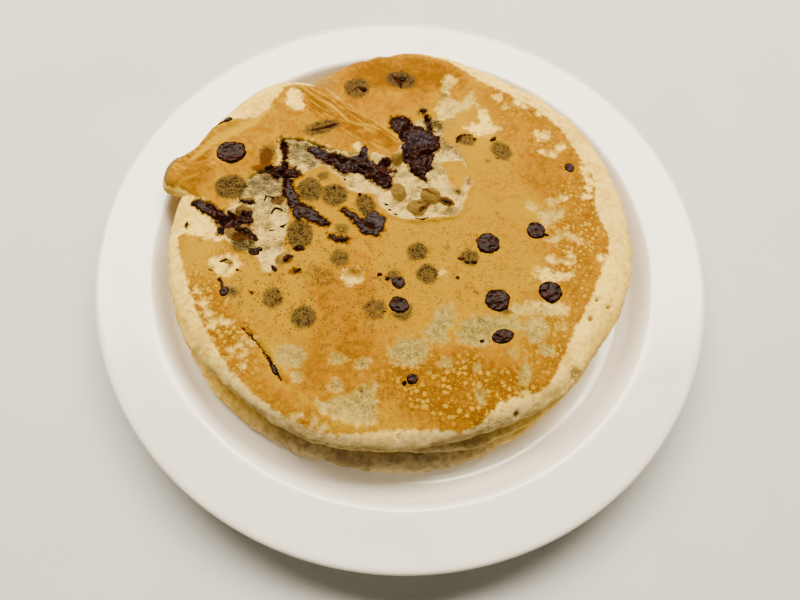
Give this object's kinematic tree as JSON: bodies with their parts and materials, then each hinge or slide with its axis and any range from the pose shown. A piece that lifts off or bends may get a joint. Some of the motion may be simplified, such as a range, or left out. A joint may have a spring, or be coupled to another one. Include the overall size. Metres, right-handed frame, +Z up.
{
  "type": "pancake stack on a plate",
  "caption": "Short stack of thick round pancakes with chocolate chips and a torn top, on a wide-rimmed round white plate.",
  "frame": {"origin": "under the middle of the plate, on the surface it stands on", "axes": "+Z up, +X right and +Y back as the picture shows the plate"},
  "size_m": [0.26, 0.26, 0.0358],
  "materials": {
    "plate": "white glossy glaze",
    "pancake": "matte browned batter, pale at the edge",
    "chocolate": "dark soft chocolate, half gloss"
  },
  "bodies": {
    "root": {"plate": "plate", "pancake_bottom": "pancake", "pancake_middle": "pancake", "pancake_top": "pancake", "torn_flap": "pancake", "chip_01": "chocolate", "chip_02": "chocolate", "chip_03": "chocolate", "chip_04": "chocolate", "chip_05": "chocolate", "chip_06": "chocolate", "chip_07": "chocolate", "chip_08": "chocolate", "chip_09": "chocolate", "chip_10": "chocolate", "chip_11": "chocolate", "melt_upper": "chocolate", "melt_back": "chocolate", "melt_left": "chocolate", "melt_edge": "chocolate", "melt_front": "chocolate"}
  },
  "joints": []
}
